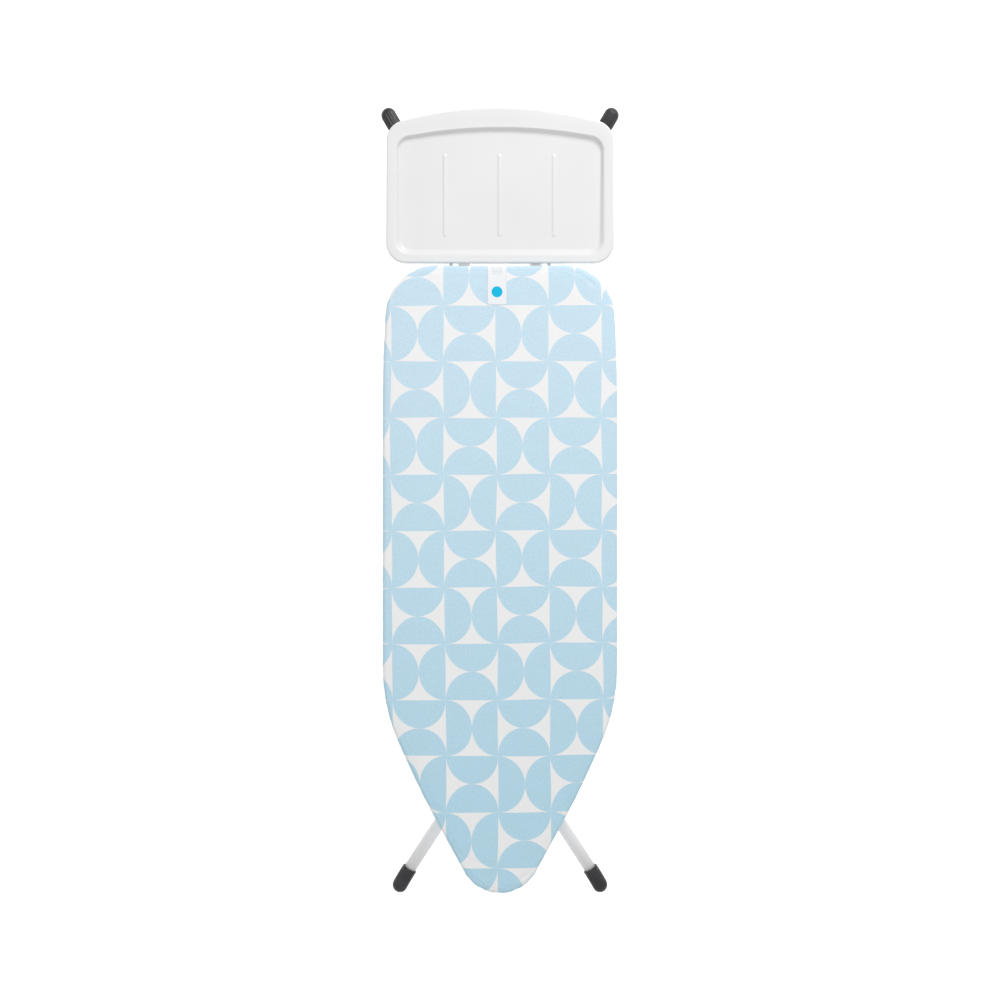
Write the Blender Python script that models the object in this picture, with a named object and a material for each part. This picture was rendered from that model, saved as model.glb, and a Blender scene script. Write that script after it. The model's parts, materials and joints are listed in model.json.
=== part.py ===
"""Folding ironing board, stored folded and lying on its four feet.

Metres. +Z is up and +Y points to the steam tray."""

import math

import bmesh
import bpy
from mathutils import Matrix, Vector

GAP = 0.0003  # clearance left between touching pieces

# Linkage: outer legs hinge at F, inner legs slide at S, and both cross at P.
FOLD_ANGLE = math.radians(2.0)  # slope of the legs when folded
HINGE_Y = -0.415
SLIDE_Y = 0.415
FOOT_Y = 0.7925  # centre of each foot's dome when folded
LEG_RADIUS = 0.0125
WALL = 0.0015
CAP_RADIUS = 0.0155
LEG_LENGTH = (FOOT_Y - HINGE_Y) / math.cos(FOLD_ANGLE)
CROSS = SLIDE_Y / math.cos(FOLD_ANGLE)  # pivot P, measured along either leg
PIVOT_Z = CAP_RADIUS + LEG_LENGTH * math.sin(FOLD_ANGLE)
OUTER_X, OUTER_FOOT_X = 0.0738, 0.2308
INNER_X, INNER_FOOT_X = 0.0420, 0.2074
SPLAY = math.radians(33.0)
BEND_RADIUS = 0.22
TUBE_TAIL = 0.014  # tube past its top pivot
OUTER_BRACE_AT, INNER_BRACE_AT = 0.860, 0.902  # along the leg from its top pivot
BRACE_RADIUS = 0.008
CAP_SOCKET, CAP_BODY = 0.026, 0.040  # socket depth and straight length before the dome
ROD_RADIUS, PIN_RADIUS = 0.005, 0.004
HOLE_PLAY = 0.0005
HINGE_ROD_HALF, SLIDE_ROD_HALF = 0.1, 0.1083
PIN_HEAD, PIN_HEAD_DEPTH, PIN_PLAY = 0.0075, 0.0018, 0.0008

# Heights of the board's layers.
STRIP_Z = (0.094, 0.097)
RIM_RADIUS, RIM_INSET, RIM_Z = 0.007, 0.012, 0.099
DECK_Z = (0.1063, 0.1075)
PAD_Z = (0.1078, 0.1150)
COVER_TOP = 0.1165
CLOTH = 0.0012
TOP_EDGE, HEM_EDGE = 0.0045, 0.003  # rounding of the cover's edges
HEM_Z = 0.0898
HEM_REACH, HEM_BLEND_Y = (0.020, 0.045), (0.362, 0.462)  # least where the tray's wires pass
LABEL = ((-0.026, 0.390), (0.011, 0.462))  # corners of the label, let into the cloth
LABEL_POCKET, LABEL_SINK = 0.0009, 0.0001
ELASTIC_INSET, ELASTIC_WIDTH = 0.0032, 0.003
STRIP_WIDTH, STRIP_GAP = 0.025, 0.0008
WIDE_END_Y = 0.4405  # where the fittings under the wide end stop
STRIP_Y = {"nose": -0.4973, "hinge": HINGE_Y, "middle": 0.055, "wide": 0.430}

# Brackets, rails, rack and latch.
BRACKET_X, BRACKET_Z, BRACKET_HALF = (0.088, 0.091), (0.046, 0.0937), 0.012
RAIL_X, RAIL_Z, RAIL_Y = (0.092, 0.112), (0.0455, 0.0690), (0.045, 0.445)
PLATE = 0.002
TAB_DEPTH, TAB_FRONT_END, TAB_BACK_START = 0.004, 0.064, 0.428
BLOCK_X, BLOCK_Z, BLOCK_HALF = (0.094, 0.109), (0.0480, 0.0665), 0.012
RACK_HALF, RACK_Z, RACK_Y = 0.014, (0.080, 0.083), (0.045, 0.4605)
TOOTH_REACH, TOOTH_TOP = 0.038, 0.0211  # tooth from the slide rod's axis
WINDOW_REACH, WINDOW_HALF, WINDOW_SIDE = 0.036, 0.0048, 0.0075
BOARD_HEIGHTS = (0.75, 0.83, 0.90, 0.98)
HANDLE_REACH, HANDLE_RISE, HANDLE_RADIUS = 0.032, 0.0199, 0.0025
TOOTH_DEPTH, ARM_HALF, HANDLE_ARM_X = 0.005, 0.006, (0.0158, 0.0205)
GRIP_X, GRIP_HALF, GRIP_RISE = (0.135, 0.190), 0.011, 0.0057

# Transport lock.
HOOK_Y, HOOK_Z, HOOK_HALF = STRIP_Y["nose"], 0.079, 0.0065
LOCK_X, LOCK_HALF, LOCK_DROP = (0.008, 0.010), 0.007, 0.006
LOCK_PIN, LOCK_PIN_HEAD = 0.0018, 0.0035

# Steam tray.
WIRE_RADIUS, WIRE_X, WIRE_Z = 0.0035, 0.0989, 0.0855
WIRE_Y = (0.300, 0.722)
WIRE_BEND = 0.03
SLEEVE_Y, SLEEVE_HALF, SLEEVE_LOW = (0.395, WIDE_END_Y), 0.008, 0.0792
CLIP_Y, CLIP_HALF, CLIP_LOW = (0.560, 0.660), 0.007, 0.0795
STOP_Y, STOP_RADII, STOP_LENGTH = 0.302, (0.0038, 0.0046), 0.006
TRAY_RIM_Z, TRAY_FLOOR_Z, TRAY_SKIRT_Z = 0.1045, 0.0955, 0.0895
TRAY_SHEET = 0.0015
TRAY_EDGE, TRAY_RIM, TRAY_SLOPE = 0.003, 0.0155, 0.010
FAR_RIM, FAR_RIM_Y, FAR_RIM_BLEND = 0.016, 0.70, 0.03  # extra width of the rim at the far edge
RIB_X, RIB_Y = (-0.111, -0.001, 0.1085), 0.613
RIB_LENGTH, RIB_HALF, RIB_RISE = 0.168, 0.0045, 0.0018

# Outlines as corners: x, y and the radius that rounds each one.
BOARD_CORNERS = (
    (0.2234, 0.4725, 0.104),
    (0.2353, 0.2857, 2.7),
    (0.2351, -0.4173, 0.375),
    (0.1536, -0.5961, 1.346),
)
BOARD_ENDS = ((0.0, 0.4685, 2.0), (0.0, -0.8767, 0.0817))
TRAY_CORNERS = ((0.2277, 0.7541, 0.040), (0.2291, 0.4762, 0.040))
TRAY_END = (0.0, 0.8142, 0.754)

for old in list(bpy.data.objects):
    bpy.data.objects.remove(old)


def material(name, colour, roughness, metallic=0.0):
    mat = bpy.data.materials.new(name)
    mat.use_nodes = True
    shader = mat.node_tree.nodes["Principled BSDF"]
    shader.inputs["Base Color"].default_value = (*colour, 1.0)
    shader.inputs["Roughness"].default_value = roughness
    shader.inputs["Metallic"].default_value = metallic
    return mat


FINISHES = {
    "white_paint": ((0.86, 0.87, 0.88), 0.35, 0.0),
    "zinc": ((0.60, 0.61, 0.62), 0.35, 0.9),
    "charcoal_plastic": ((0.04, 0.04, 0.043), 0.5, 0.0),
    "grey_plastic": ((0.45, 0.46, 0.47), 0.5, 0.0),
    "foam": ((0.85, 0.84, 0.80), 0.9, 0.0),
    "cloth": ((0.60, 0.76, 0.85), 0.85, 0.0),
    "label_satin": ((0.90, 0.92, 0.95), 0.4, 0.0),
}


def add(name, bm, finish, parent=None):
    """Makes a named object from a bmesh, with a material of its own."""
    bmesh.ops.remove_doubles(bm, verts=bm.verts, dist=1e-7)
    bmesh.ops.recalc_face_normals(bm, faces=bm.faces)
    mesh = bpy.data.meshes.new(name)
    bm.to_mesh(mesh)
    bm.free()
    mesh.shade_smooth()
    mesh.set_sharp_from_angle(angle=math.radians(35))
    mesh.materials.append(material(name, *FINISHES[finish]))
    obj = bpy.data.objects.new(name, mesh)
    bpy.context.scene.collection.objects.link(obj)
    obj.parent = parent
    return obj


def empty(name, location, turn=0.0, parent=None):
    obj = bpy.data.objects.new(name, None)
    obj.location = location
    obj.rotation_euler = (turn, 0.0, 0.0)
    obj.parent = parent
    bpy.context.scene.collection.objects.link(obj)
    return obj


def box(bm, low, high):
    """Adds a cuboid between two corners."""
    size = Vector(high) - Vector(low)
    middle = (Vector(high) + Vector(low)) / 2
    bmesh.ops.create_cube(bm, matrix=Matrix.Translation(middle) @ Matrix.Diagonal((*size, 1.0)))


def loft(bm, rings, loop=False):
    """Skins rings of equal length. Ends are capped, unless the rings join up in a loop."""
    made = [[bm.verts.new(p) for p in ring] for ring in rings]
    pairs = list(zip(made, made[1:]))
    if loop:
        pairs.append((made[-1], made[0]))
    for a, b in pairs:
        for i in range(len(a)):
            j = (i + 1) % len(a)
            bm.faces.new((a[i], a[j], b[j], b[i]))
    if not loop:
        bm.faces.new(made[0][::-1])
        bm.faces.new(made[-1])


def turned(bm, profile, place=Matrix(), sides=16, loop=False):
    """Turns (radius, height) points about the local Z axis of place."""
    rings = []
    for radius, height in profile:
        angles = [2 * math.pi * (i + 0.5) / sides for i in range(sides)]
        rings.append([place @ Vector((radius * math.cos(a), radius * math.sin(a), height)) for a in angles])
    loft(bm, rings, loop)


def along_x(y=0.0, z=0.0):
    """Places a turned piece along the X axis."""
    return Matrix.Translation((0.0, y, z)) @ Matrix.Rotation(math.pi / 2, 4, "Y")


def rod_x(bm, x0, x1, radius, y=0.0, z=0.0, sides=16):
    turned(bm, [(radius, x0), (radius, x1)], along_x(y, z), sides)


def ring_x(bm, x0, x1, inner, outer, y=0.0, z=0.0, sides=16):
    turned(bm, [(inner, x0), (outer, x0), (outer, x1), (inner, x1)], along_x(y, z), sides, loop=True)


def cut(obj, bm, name):
    """Subtracts a hidden cutter from an object."""
    cutter = add(name, bm, "zinc", obj.parent)
    cutter.hide_render = True
    cutter.display_type = "WIRE"
    modifier = obj.modifiers.new(name, "BOOLEAN")
    modifier.operation = "DIFFERENCE"
    modifier.object = cutter


def join_up(obj, bm, name):
    """Unites an object with a hidden second shape."""
    extra = add(name, bm, "zinc", obj.parent)
    extra.hide_render = True
    extra.display_type = "WIRE"
    modifier = obj.modifiers.new(name, "BOOLEAN")
    modifier.operation = "UNION"
    modifier.object = extra


def rounded(corners, step=math.radians(9)):
    """A closed outline whose corners are rounded by arcs."""
    points = []
    for i, (x, y, radius) in enumerate(corners):
        here = Vector((x, y))
        back = (Vector(corners[i - 1][:2]) - here).normalized()
        ahead = (Vector(corners[(i + 1) % len(corners)][:2]) - here).normalized()
        half = back.angle(ahead) / 2
        centre = here + (back + ahead).normalized() * radius / math.sin(half)
        start = here + back * radius / math.tan(half) - centre
        end = here + ahead * radius / math.tan(half) - centre
        sweep = -start.angle_signed(end)
        count = max(2, math.ceil(abs(sweep) / step))
        for k in range(count + 1):
            angle = sweep * k / count
            turn = Matrix.Rotation(angle, 2)
            points.append(centre + turn @ start)
    return points


def mirrored_corners(half, start, end=None):
    """Corners of an outline that is the same left and right."""
    other = [(-x, y, r) for x, y, r in reversed(half)]
    return [start, *half] + ([end] if end else []) + other


def inset(points, distance):
    """Moves a clockwise outline inwards. distance is a number or a function of a point."""
    moved = []
    for i, p in enumerate(points):
        tangent = (points[(i + 1) % len(points)] - points[i - 1]).normalized()
        amount = distance(p) if callable(distance) else distance
        moved.append(p + Vector((tangent.y, -tangent.x)) * amount)
    return moved


def at(points, z):
    return [Vector((p.x, p.y, z)) for p in points]


OUTLINE = rounded(mirrored_corners(BOARD_CORNERS, *BOARD_ENDS))
TRAY_OUTLINE = rounded(mirrored_corners(TRAY_CORNERS, TRAY_END))


def hem_depth(p):
    """How far the cover's hem reaches inwards: least at the wide end, where the wires pass."""
    low, high = HEM_BLEND_Y
    blend = min(1.0, max(0.0, (high - p.y) / (high - low)))
    return HEM_REACH[0] + (HEM_REACH[1] - HEM_REACH[0]) * blend


# Board: frame.


def board_frame():
    bm = bmesh.new()
    centre = inset(OUTLINE, RIM_INSET)
    rings = []
    for i, p in enumerate(centre):
        tangent = (centre[(i + 1) % len(centre)] - centre[i - 1]).normalized()
        side = Vector((tangent.y, -tangent.x, 0.0))
        angles = [2 * math.pi * (k + 0.5) / 10 for k in range(10)]
        middle = Vector((p.x, p.y, RIM_Z))
        up = Vector((0, 0, 1))
        rings.append([middle + (side * math.cos(a) + up * math.sin(a)) * RIM_RADIUS for a in angles])
    loft(bm, rings, loop=True)
    add("board_rim", bm, "white_paint")

    bm = bmesh.new()
    plate = inset(OUTLINE, RIM_INSET - 0.002)
    loft(bm, [at(plate, DECK_Z[0]), at(plate, DECK_Z[1])])
    add("deck_mesh", bm, "white_paint")

    for name, y in STRIP_Y.items():
        inner = inset(OUTLINE, RIM_INSET + RIM_RADIUS + STRIP_GAP)
        half = min(reach(inner, y - STRIP_WIDTH / 2), reach(inner, y + STRIP_WIDTH / 2))
        low = (-half, y - STRIP_WIDTH / 2, STRIP_Z[0])
        high = (half, y + STRIP_WIDTH / 2, STRIP_Z[1])
        if name == "wide":
            high = (half, WIDE_END_Y, STRIP_Z[1])
        bm = bmesh.new()
        box(bm, low, high)
        add("cross_strip_" + name, bm, "white_paint")


def reach(points, y):
    """Half width of an outline at y."""
    found = 0.0
    for a, b in zip(points, points[1:] + points[:1]):
        if (a.y - y) * (b.y - y) <= 0 and a.y != b.y:
            found = max(found, abs(a.x + (b.x - a.x) * (y - a.y) / (b.y - a.y)))
    return found


def sided(name, build, finish, parent=None):
    """Makes a left and a right piece, calling build with the sign of X."""
    for side, sign in (("left", -1), ("right", 1)):
        bm = bmesh.new()
        build(bm, sign)
        add(f"{name}_{side}", bm, finish, parent)


def wide_box(bm, sign, x, y, z):
    """A cuboid from ranges, on the side that sign gives."""
    xs = sorted((sign * x[0], sign * x[1]))
    box(bm, (xs[0], y[0], z[0]), (xs[1], y[1], z[1]))


def hinge_bracket(bm, sign):
    """Plate that hangs from the strip and carries the hinge rod."""
    wide_box(bm, sign, BRACKET_X, (HINGE_Y - BRACKET_HALF, HINGE_Y + BRACKET_HALF), BRACKET_Z)


def guide_rails():
    for side, sign in (("left", -1), ("right", 1)):
        web, lip = sign * RAIL_X[1], sign * RAIL_X[0]
        inner = web - sign * PLATE
        low, high = RAIL_Z
        profile = [(web, low), (web, high), (lip, high), (lip, high - PLATE), (inner, high - PLATE)]
        profile += [(inner, low + PLATE), (lip, low + PLATE), (lip, low)]
        bm = bmesh.new()
        loft(bm, [[Vector((x, y, z)) for x, z in profile] for y in RAIL_Y])
        rail = add("guide_rail_" + side, bm, "zinc")
        for end, span in (("front", (RAIL_Y[0], TAB_FRONT_END)), ("back", (TAB_BACK_START, WIDE_END_Y))):
            bm = bmesh.new()
            tab = (high - TAB_DEPTH, STRIP_Z[0] - GAP)
            wide_box(bm, sign, (RAIL_X[1] - PLATE, RAIL_X[1]), span, tab)
            join_up(rail, bm, f"rail_tab_{end}_{side}")


def slide_position(height):
    """Where the slide rod is along Y when the board's top is at a height above the floor."""
    rise = height - CAP_RADIUS - (COVER_TOP - PIVOT_Z)
    return HINGE_Y + 2 * CROSS * math.cos(math.asin(rise / LEG_LENGTH))


def height_rack():
    bm = bmesh.new()
    box(bm, (-RACK_HALF, RACK_Y[0], RACK_Z[0]), (RACK_HALF, RACK_Y[1], RACK_Z[1]))
    rack = add("height_rack", bm, "zinc")
    bm = bmesh.new()
    for place in (SLIDE_Y, *map(slide_position, BOARD_HEIGHTS)):
        middle = place + WINDOW_REACH
        low = (-WINDOW_SIDE, middle - WINDOW_HALF, RACK_Z[0] - PLATE)
        box(bm, low, (WINDOW_SIDE, middle + WINDOW_HALF, RACK_Z[1] + PLATE))
    cut(rack, bm, "rack_windows")
    for place in ("middle", "wide"):
        y = STRIP_Y[place]
        bm = bmesh.new()
        box(bm, (-0.010, y - 0.006, RACK_Z[1] + GAP), (0.010, y + 0.006, STRIP_Z[0] - GAP))
        add("rack_spacer_" + place, bm, "grey_plastic")


def lock_parts():
    """Fork that carries the transport hook, with its pin."""
    bm = bmesh.new()
    top = STRIP_Z[0] - GAP
    low, high = HOOK_Y - LOCK_HALF, HOOK_Y + LOCK_HALF
    for sign in (-1, 1):
        wide_box(bm, sign, LOCK_X, (low, high), (HOOK_Z - LOCK_DROP, top))
    bracket = add("lock_bracket", bm, "zinc")
    bm = bmesh.new()
    side = sum(LOCK_X) / 2 + PLATE / 4
    box(bm, (-side, low, top - PLATE), (side, high, top))
    join_up(bracket, bm, "bracket_bridge")
    bm = bmesh.new()
    rod_x(bm, -0.012, 0.012, LOCK_PIN + GAP, HOOK_Y, HOOK_Z, 12)
    cut(bracket, bm, "bracket_bore")
    bm = bmesh.new()
    steps = [(LOCK_PIN_HEAD, -0.0115), (LOCK_PIN_HEAD, -0.0103), (LOCK_PIN, -0.0103)]
    steps += [(LOCK_PIN, 0.0103), (LOCK_PIN_HEAD, 0.0103), (LOCK_PIN_HEAD, 0.0115)]
    turned(bm, steps, along_x(HOOK_Y, HOOK_Z), 12)
    add("lock_pin", bm, "zinc")


def ribbon(bm, line, height, across, thick):
    """A flat strip that follows a closed outline."""
    square = ((-1, -1), (1, -1), (1, 1), (-1, 1))
    rings = []
    for i, p in enumerate(line):
        tangent = (line[(i + 1) % len(line)] - line[i - 1]).normalized()
        side = Vector((tangent.y, -tangent.x, 0.0)) * across / 2
        middle = Vector((p.x, p.y, height))
        rings.append([middle + side * a + Vector((0, 0, b * thick / 2)) for a, b in square])
    loft(bm, rings, loop=True)


def soft_parts():
    """Pad, cover with its turned-in hem and elastic, and the label let into the cover."""
    bm = bmesh.new()
    side = inset(OUTLINE, CLOTH + 2 * GAP)
    low, high = PAD_Z
    rings = [at(inset(side, 0.002), low), at(side, low + 0.002)]
    loft(bm, rings + [at(side, high - 0.003), at(inset(side, 0.004), high)])
    add("pad", bm, "foam")

    bm = bmesh.new()
    hem = inset(OUTLINE, hem_depth)
    top_in = COVER_TOP - CLOTH
    inner_edge = TOP_EDGE - 0.001
    rings = [at(inset(OUTLINE, TOP_EDGE), COVER_TOP), at(OUTLINE, COVER_TOP - TOP_EDGE)]
    rings += [at(OUTLINE, HEM_Z + HEM_EDGE), at(inset(OUTLINE, HEM_EDGE), HEM_Z), at(hem, HEM_Z)]
    rings += [at(hem, HEM_Z + CLOTH), at(inset(OUTLINE, inner_edge), HEM_Z + CLOTH)]
    lining = inset(OUTLINE, CLOTH)
    rings += [at(lining, HEM_Z + inner_edge), at(lining, top_in - inner_edge)]
    rings += [at(inset(OUTLINE, CLOTH + inner_edge), top_in)]
    loft(bm, rings)
    cover = add("cover", bm, "cloth")
    (x0, y0), (x1, y1) = LABEL
    floor = COVER_TOP - LABEL_POCKET
    bm = bmesh.new()
    box(bm, (x0 - GAP, y0 - GAP, floor), (x1 + GAP, y1 + GAP, COVER_TOP + 0.001))
    cut(cover, bm, "label_pocket")

    bm = bmesh.new()
    line = inset(OUTLINE, lambda p: hem_depth(p) + ELASTIC_INSET)
    ribbon(bm, line, HEM_Z + CLOTH / 2, ELASTIC_WIDTH, CLOTH)
    add("hem_elastic", bm, "cloth")

    bm = bmesh.new()
    box(bm, (x0, y0, floor + GAP), (x1, y1, COVER_TOP - LABEL_SINK))
    add("size_label", bm, "label_satin")


# Legs.


def leg_path(x, foot_x, tail):
    """Centre line in the leg's own plane: straight, one bend, then splayed out to the foot."""
    corner = LEG_LENGTH - (foot_x - x) / math.tan(SPLAY)
    lead = BEND_RADIUS * math.tan(SPLAY / 2)
    points = [Vector((x, -TUBE_TAIL))]
    for k in range(7):
        angle = SPLAY * k / 6
        across = BEND_RADIUS * (1 - math.cos(angle))
        points.append(Vector((x + across, corner - lead + BEND_RADIUS * math.sin(angle))))
    points.append(Vector((foot_x, LEG_LENGTH)) - Vector((math.sin(SPLAY), math.cos(SPLAY))) * tail)
    return points


def leg_tube(bm, sign, x, foot_x, heading):
    """A hollow bent tube. heading is +1 or -1 along Y."""
    path = leg_path(x, foot_x, CAP_BODY - CAP_SOCKET + 0.001)
    sides, rings = 14, []
    for radius, order in ((LEG_RADIUS, 1), (LEG_RADIUS - WALL, -1)):
        for i in range(len(path))[::order]:
            before, after = path[max(0, i - 1)], path[min(len(path) - 1, i + 1)]
            tangent = (after - before).normalized()
            across = Vector((tangent.y, -tangent.x))
            ring = []
            for k in range(sides):
                angle = 2 * math.pi * k / sides
                flat = path[i] + across * radius * math.cos(angle)
                ring.append(Vector((sign * flat.x, heading * flat.y, radius * math.sin(angle))))
            rings.append(ring)
    loft(bm, rings, loop=True)


def foot_cap(bm, sign, foot_x, heading):
    """Domed cap with a socket for the tube, its dome centred on the foot point."""
    socket = LEG_RADIUS + GAP
    floor = -CAP_BODY + CAP_SOCKET
    profile = [(0.002, floor), (socket, floor), (socket, -CAP_BODY)]
    profile += [(CAP_RADIUS, -CAP_BODY), (CAP_RADIUS, 0.0)]
    for k in range(1, 5):
        angle = math.pi / 2 * k / 4.3
        profile.append((CAP_RADIUS * math.cos(angle), CAP_RADIUS * math.sin(angle)))
    direction = Vector((sign * math.sin(SPLAY), heading * math.cos(SPLAY), 0.0))
    turn = direction.to_track_quat("Z", "Y").to_matrix().to_4x4()
    turned(bm, profile, Matrix.Translation((sign * foot_x, heading * LEG_LENGTH, 0.0)) @ turn)


def leg_set(name, x, foot_x, heading, brace_at, pivot):
    """The pieces that both leg frames have, in the frame of their top pivot."""
    for side, sign in (("left", -1), ("right", 1)):
        bm = bmesh.new()
        leg_tube(bm, sign, x, foot_x, heading)
        tube = add(f"{name}_leg_{side}", bm, "white_paint", pivot)
        for place, y, radius in (("top", 0.0, ROD_RADIUS), ("cross", heading * CROSS, PIN_RADIUS)):
            bm = bmesh.new()
            rod_x(bm, *sorted((sign * (x - 0.02), sign * (x + 0.02))), radius + HOLE_PLAY, y)
            cut(tube, bm, f"{name}_{place}_bore_{side}")

    def cap(bm, sign):
        foot_cap(bm, sign, foot_x, heading)

    sided(name + "_foot_cap", cap, "charcoal_plastic", pivot)
    bm = bmesh.new()
    half = x - LEG_RADIUS - GAP
    rod_x(bm, -half, half, BRACE_RADIUS, heading * brace_at, sides=12)
    add(name + "_leg_brace", bm, "white_paint", pivot)

    def plug(bm, sign):
        turn = Matrix.Rotation(heading * math.pi / 2, 4, "X")
        place = Matrix.Translation((sign * x, -heading * TUBE_TAIL, 0.0)) @ turn
        steps = [(0.0105, -0.006), (0.0105, GAP), (LEG_RADIUS, GAP), (LEG_RADIUS, 0.002)]
        turned(bm, steps + [(0.009, 0.003)], place, 14)

    sided(name + "_tube_plug", plug, "charcoal_plastic", pivot)


def outer_legs():
    pivot = empty("outer_legs_pivot", (0.0, HINGE_Y, PIVOT_Z), -FOLD_ANGLE)
    leg_set("outer", OUTER_X, OUTER_FOOT_X, 1, OUTER_BRACE_AT, pivot)
    bm = bmesh.new()
    rod_x(bm, -HINGE_ROD_HALF, HINGE_ROD_HALF, ROD_RADIUS)
    add("hinge_rod", bm, "zinc", pivot)

    def rod_cap(bm, sign):
        rings = [(0.0053, 0.0915), (0.0085, 0.0915), (0.0085, 0.102), (0.006, 0.104)]
        rings += [(0.001, 0.104), (0.001, 0.1003), (0.0053, 0.1003)]
        turned(bm, [(r, sign * h) for r, h in rings], along_x(), 14, loop=True)

    sided("hinge_rod_cap", rod_cap, "charcoal_plastic", pivot)
    cross = empty("cross_pivot", (0.0, CROSS, 0.0), parent=pivot)
    start, end = INNER_X - LEG_RADIUS - PIN_PLAY, OUTER_X + LEG_RADIUS + PIN_PLAY

    def pin(bm, sign):
        rings = [(PIN_HEAD, start - PIN_HEAD_DEPTH), (PIN_HEAD, start), (PIN_RADIUS, start)]
        rings += [(PIN_RADIUS, end), (PIN_HEAD, end), (PIN_HEAD, end + PIN_HEAD_DEPTH)]
        turned(bm, [(r, sign * h) for r, h in rings], along_x(), 14)

    sided("pivot_pin", pin, "zinc", cross)

    def spacer(bm, sign):
        span = (INNER_X + LEG_RADIUS + HOLE_PLAY, OUTER_X - LEG_RADIUS - HOLE_PLAY)
        ring_x(bm, *sorted(sign * x for x in span), PIN_RADIUS + GAP, 0.009)

    sided("pivot_spacer", spacer, "charcoal_plastic", cross)


def inner_legs():
    pivot = empty("inner_legs_pivot", (0.0, SLIDE_Y, PIVOT_Z), FOLD_ANGLE)
    leg_set("inner", INNER_X, INNER_FOOT_X, -1, INNER_BRACE_AT, pivot)
    bm = bmesh.new()
    rod_x(bm, -SLIDE_ROD_HALF, SLIDE_ROD_HALF, ROD_RADIUS)
    add("slide_rod", bm, "zinc", pivot)


# Glides, latch and transport lock.


def glides():
    carriage = empty("glide_axis", (0.0, SLIDE_Y, PIVOT_Z))
    for side, sign in (("left", -1), ("right", 1)):
        bm = bmesh.new()
        z = (BLOCK_Z[0] - PIVOT_Z, BLOCK_Z[1] - PIVOT_Z)
        wide_box(bm, sign, BLOCK_X, (-BLOCK_HALF, BLOCK_HALF), z)
        block = add("glide_block_" + side, bm, "charcoal_plastic", carriage)
        bm = bmesh.new()
        bore = (BLOCK_X[0] - 0.004, SLIDE_ROD_HALF + GAP)
        rod_x(bm, *sorted(sign * x for x in bore), ROD_RADIUS + GAP)
        cut(block, bm, "glide_bore_" + side)


def across(shape, x0, x1):
    """A shape's (y, z) corners as the two ends of a plate that lies across the X axis."""
    return [[Vector((x, y, z)) for y, z in shape] for x in (x0, x1)]


def latch():
    """Lever on the slide rod: a tooth at the front and a handle at the back."""
    axis = empty("latch_axis", (0.0, SLIDE_Y, PIVOT_Z))
    bm = bmesh.new()
    ring_x(bm, -0.018, 0.021, ROD_RADIUS + HOLE_PLAY, 0.009)
    plate = add("latch_plate", bm, "zinc", axis)
    bm = bmesh.new()
    tooth = TOOTH_REACH + TOOTH_DEPTH / 2
    root = tooth - TOOTH_DEPTH
    arm = [(0.0082, -0.002), (tooth, 0.005), (tooth, TOOTH_TOP), (root, TOOTH_TOP)]
    loft(bm, across(arm + [(root, 0.009), (0.0082, 0.003)], -ARM_HALF, ARM_HALF))
    join_up(plate, bm, "tooth_arm")
    bm = bmesh.new()
    reach_y, rise = -HANDLE_REACH, HANDLE_RISE
    rear = [(-0.0072, -0.003), (-0.0072, 0.004), (reach_y + 0.005, rise + 0.0015)]
    rear += [(reach_y, rise + 0.0022), (reach_y - 0.005, rise), (reach_y - 0.003, rise - 0.0045)]
    loft(bm, across(rear + [(-0.018, 0.004)], *HANDLE_ARM_X))
    join_up(plate, bm, "handle_arm")
    bm = bmesh.new()
    rod_x(bm, HANDLE_ARM_X[1] + GAP, GRIP_X[1] - 0.005, HANDLE_RADIUS, reach_y, rise, 12)
    add("latch_handle_rod", bm, "zinc", axis)
    bm = bmesh.new()
    half, corner, low = GRIP_HALF, 0.009, GRIP_RISE * 0.6
    grip = [(-corner, -low), (0.0, -GRIP_RISE), (corner, -low), (half, 0.0)]
    grip += [(corner, low), (0.0, GRIP_RISE), (-corner, low), (-half, 0.0)]
    loft(bm, across([(reach_y + y, rise + z) for y, z in grip], *GRIP_X))
    lever = add("latch_grip", bm, "charcoal_plastic", axis)
    bm = bmesh.new()
    bore_end = GRIP_X[1] - 0.005 + GAP
    rod_x(bm, GRIP_X[0] - 0.005, bore_end, HANDLE_RADIUS + GAP, reach_y, rise, 12)
    cut(lever, bm, "grip_bore")
    bm = bmesh.new()
    coil(bm, 0.0215, 0.0282, 0.0068, 0.0007, 4)
    add("latch_spring", bm, "zinc", axis)


def coil(bm, x0, x1, radius, wire, turns):
    """A helix of wire round the X axis."""
    steps, rings = turns * 12, []
    for i in range(steps + 1):
        angle = 2 * math.pi * turns * i / steps
        out = Vector((0.0, math.cos(angle), math.sin(angle)))
        centre = Vector((x0 + wire + (x1 - x0 - 2 * wire) * i / steps, 0.0, 0.0)) + out * radius
        angles = [2 * math.pi * k / 6 for k in range(6)]
        rings.append([centre + (out * math.cos(a) + Vector((1, 0, 0)) * math.sin(a)) * wire for a in angles])
    loft(bm, rings)


def transport_hook():
    """Hook that lies back under the board. Turned down, its lip holds the inner brace."""
    axis = empty("hook_axis", (0.0, HOOK_Y, HOOK_Z))
    bm = bmesh.new()
    shape = [(0.0040, -0.0035), (0.0040, 0.0035), (-0.060, 0.0022), (-0.0672, 0.0022)]
    shape += [(-0.0672, -0.018), (-0.0635, -0.018), (-0.0632, -0.0022), (-0.058, -0.0022)]
    loft(bm, across(shape, -HOOK_HALF, HOOK_HALF))
    hook = add("transport_hook", bm, "charcoal_plastic", axis)
    bm = bmesh.new()
    rod_x(bm, -0.01, 0.01, LOCK_PIN + GAP, sides=12)
    cut(hook, bm, "hook_bore")


# Steam tray.


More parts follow.
